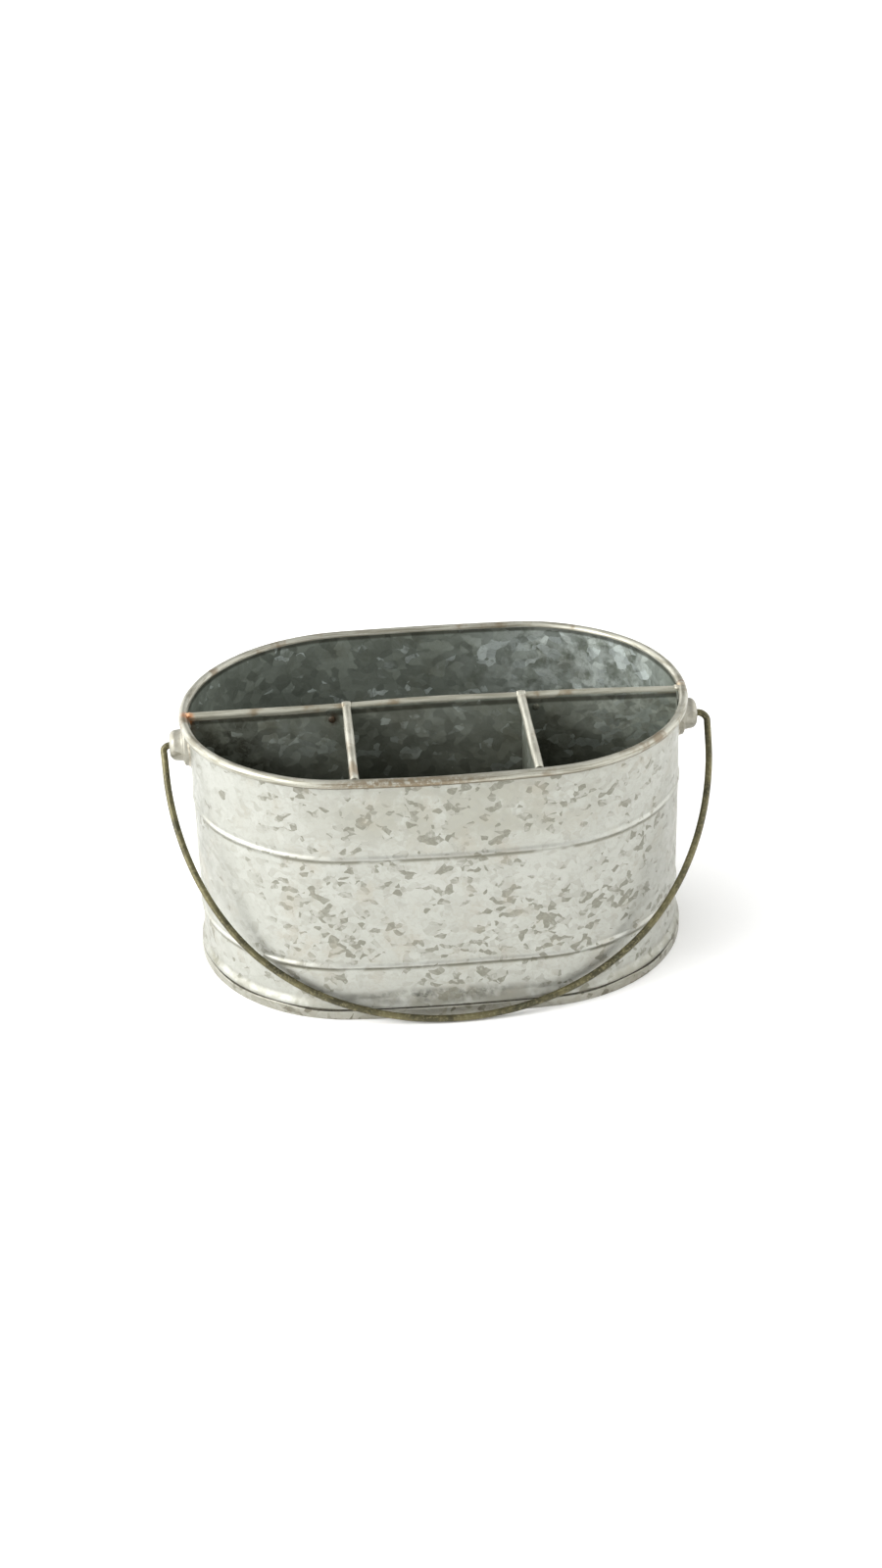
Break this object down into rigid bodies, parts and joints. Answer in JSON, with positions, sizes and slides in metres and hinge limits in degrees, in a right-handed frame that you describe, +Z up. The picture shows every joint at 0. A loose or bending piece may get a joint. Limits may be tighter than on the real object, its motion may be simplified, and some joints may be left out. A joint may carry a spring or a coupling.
{
  "type": "divided oval caddy",
  "caption": "Oval galvanised steel caddy with a lengthwise divider, cross dividers and a swinging wire bail handle; carries cut flowers, tools or bottles.",
  "frame": {"origin": "middle of the tub's foot, on the surface it stands on", "axes": "+X along the tub towards the right ear, +Y towards the rear compartment, +Z up"},
  "size_m": [0.3332, 0.2111, 0.1625],
  "materials": {
    "galvanised_sheet": "hot-dip galvanised, spangled, semi-matt",
    "core_wire": "plain drawn wire",
    "rivet_steel": "dull, darkened",
    "ear_pressing": "galvanised, dull",
    "bail_wire": "dark oiled steel wire, semi-matt"
  },
  "bodies": {
    "bucket": {"front_wall": "galvanised_sheet", "rear_wall": "galvanised_sheet", "rim_wire": "core_wire", "floor_pan": "galvanised_sheet", "long_divider": "galvanised_sheet", "left_cross_divider": "galvanised_sheet", "right_cross_divider": "galvanised_sheet", "left_divider_rivets": "rivet_steel", "right_divider_rivets": "rivet_steel", "left_ear_plate": "ear_pressing", "right_ear_plate": "ear_pressing", "left_ear_cup": "ear_pressing", "right_ear_cup": "ear_pressing"},
    "bail": {"bail_wire": "bail_wire"}
  },
  "joints": [
    {"name": "bail_swing", "type": "hinge", "parent": "bucket", "child": "bail", "pos_m": [0, 0, 0.1403], "axis": [-1, 0, 0], "range_deg": [0, 284.7]}
  ]
}
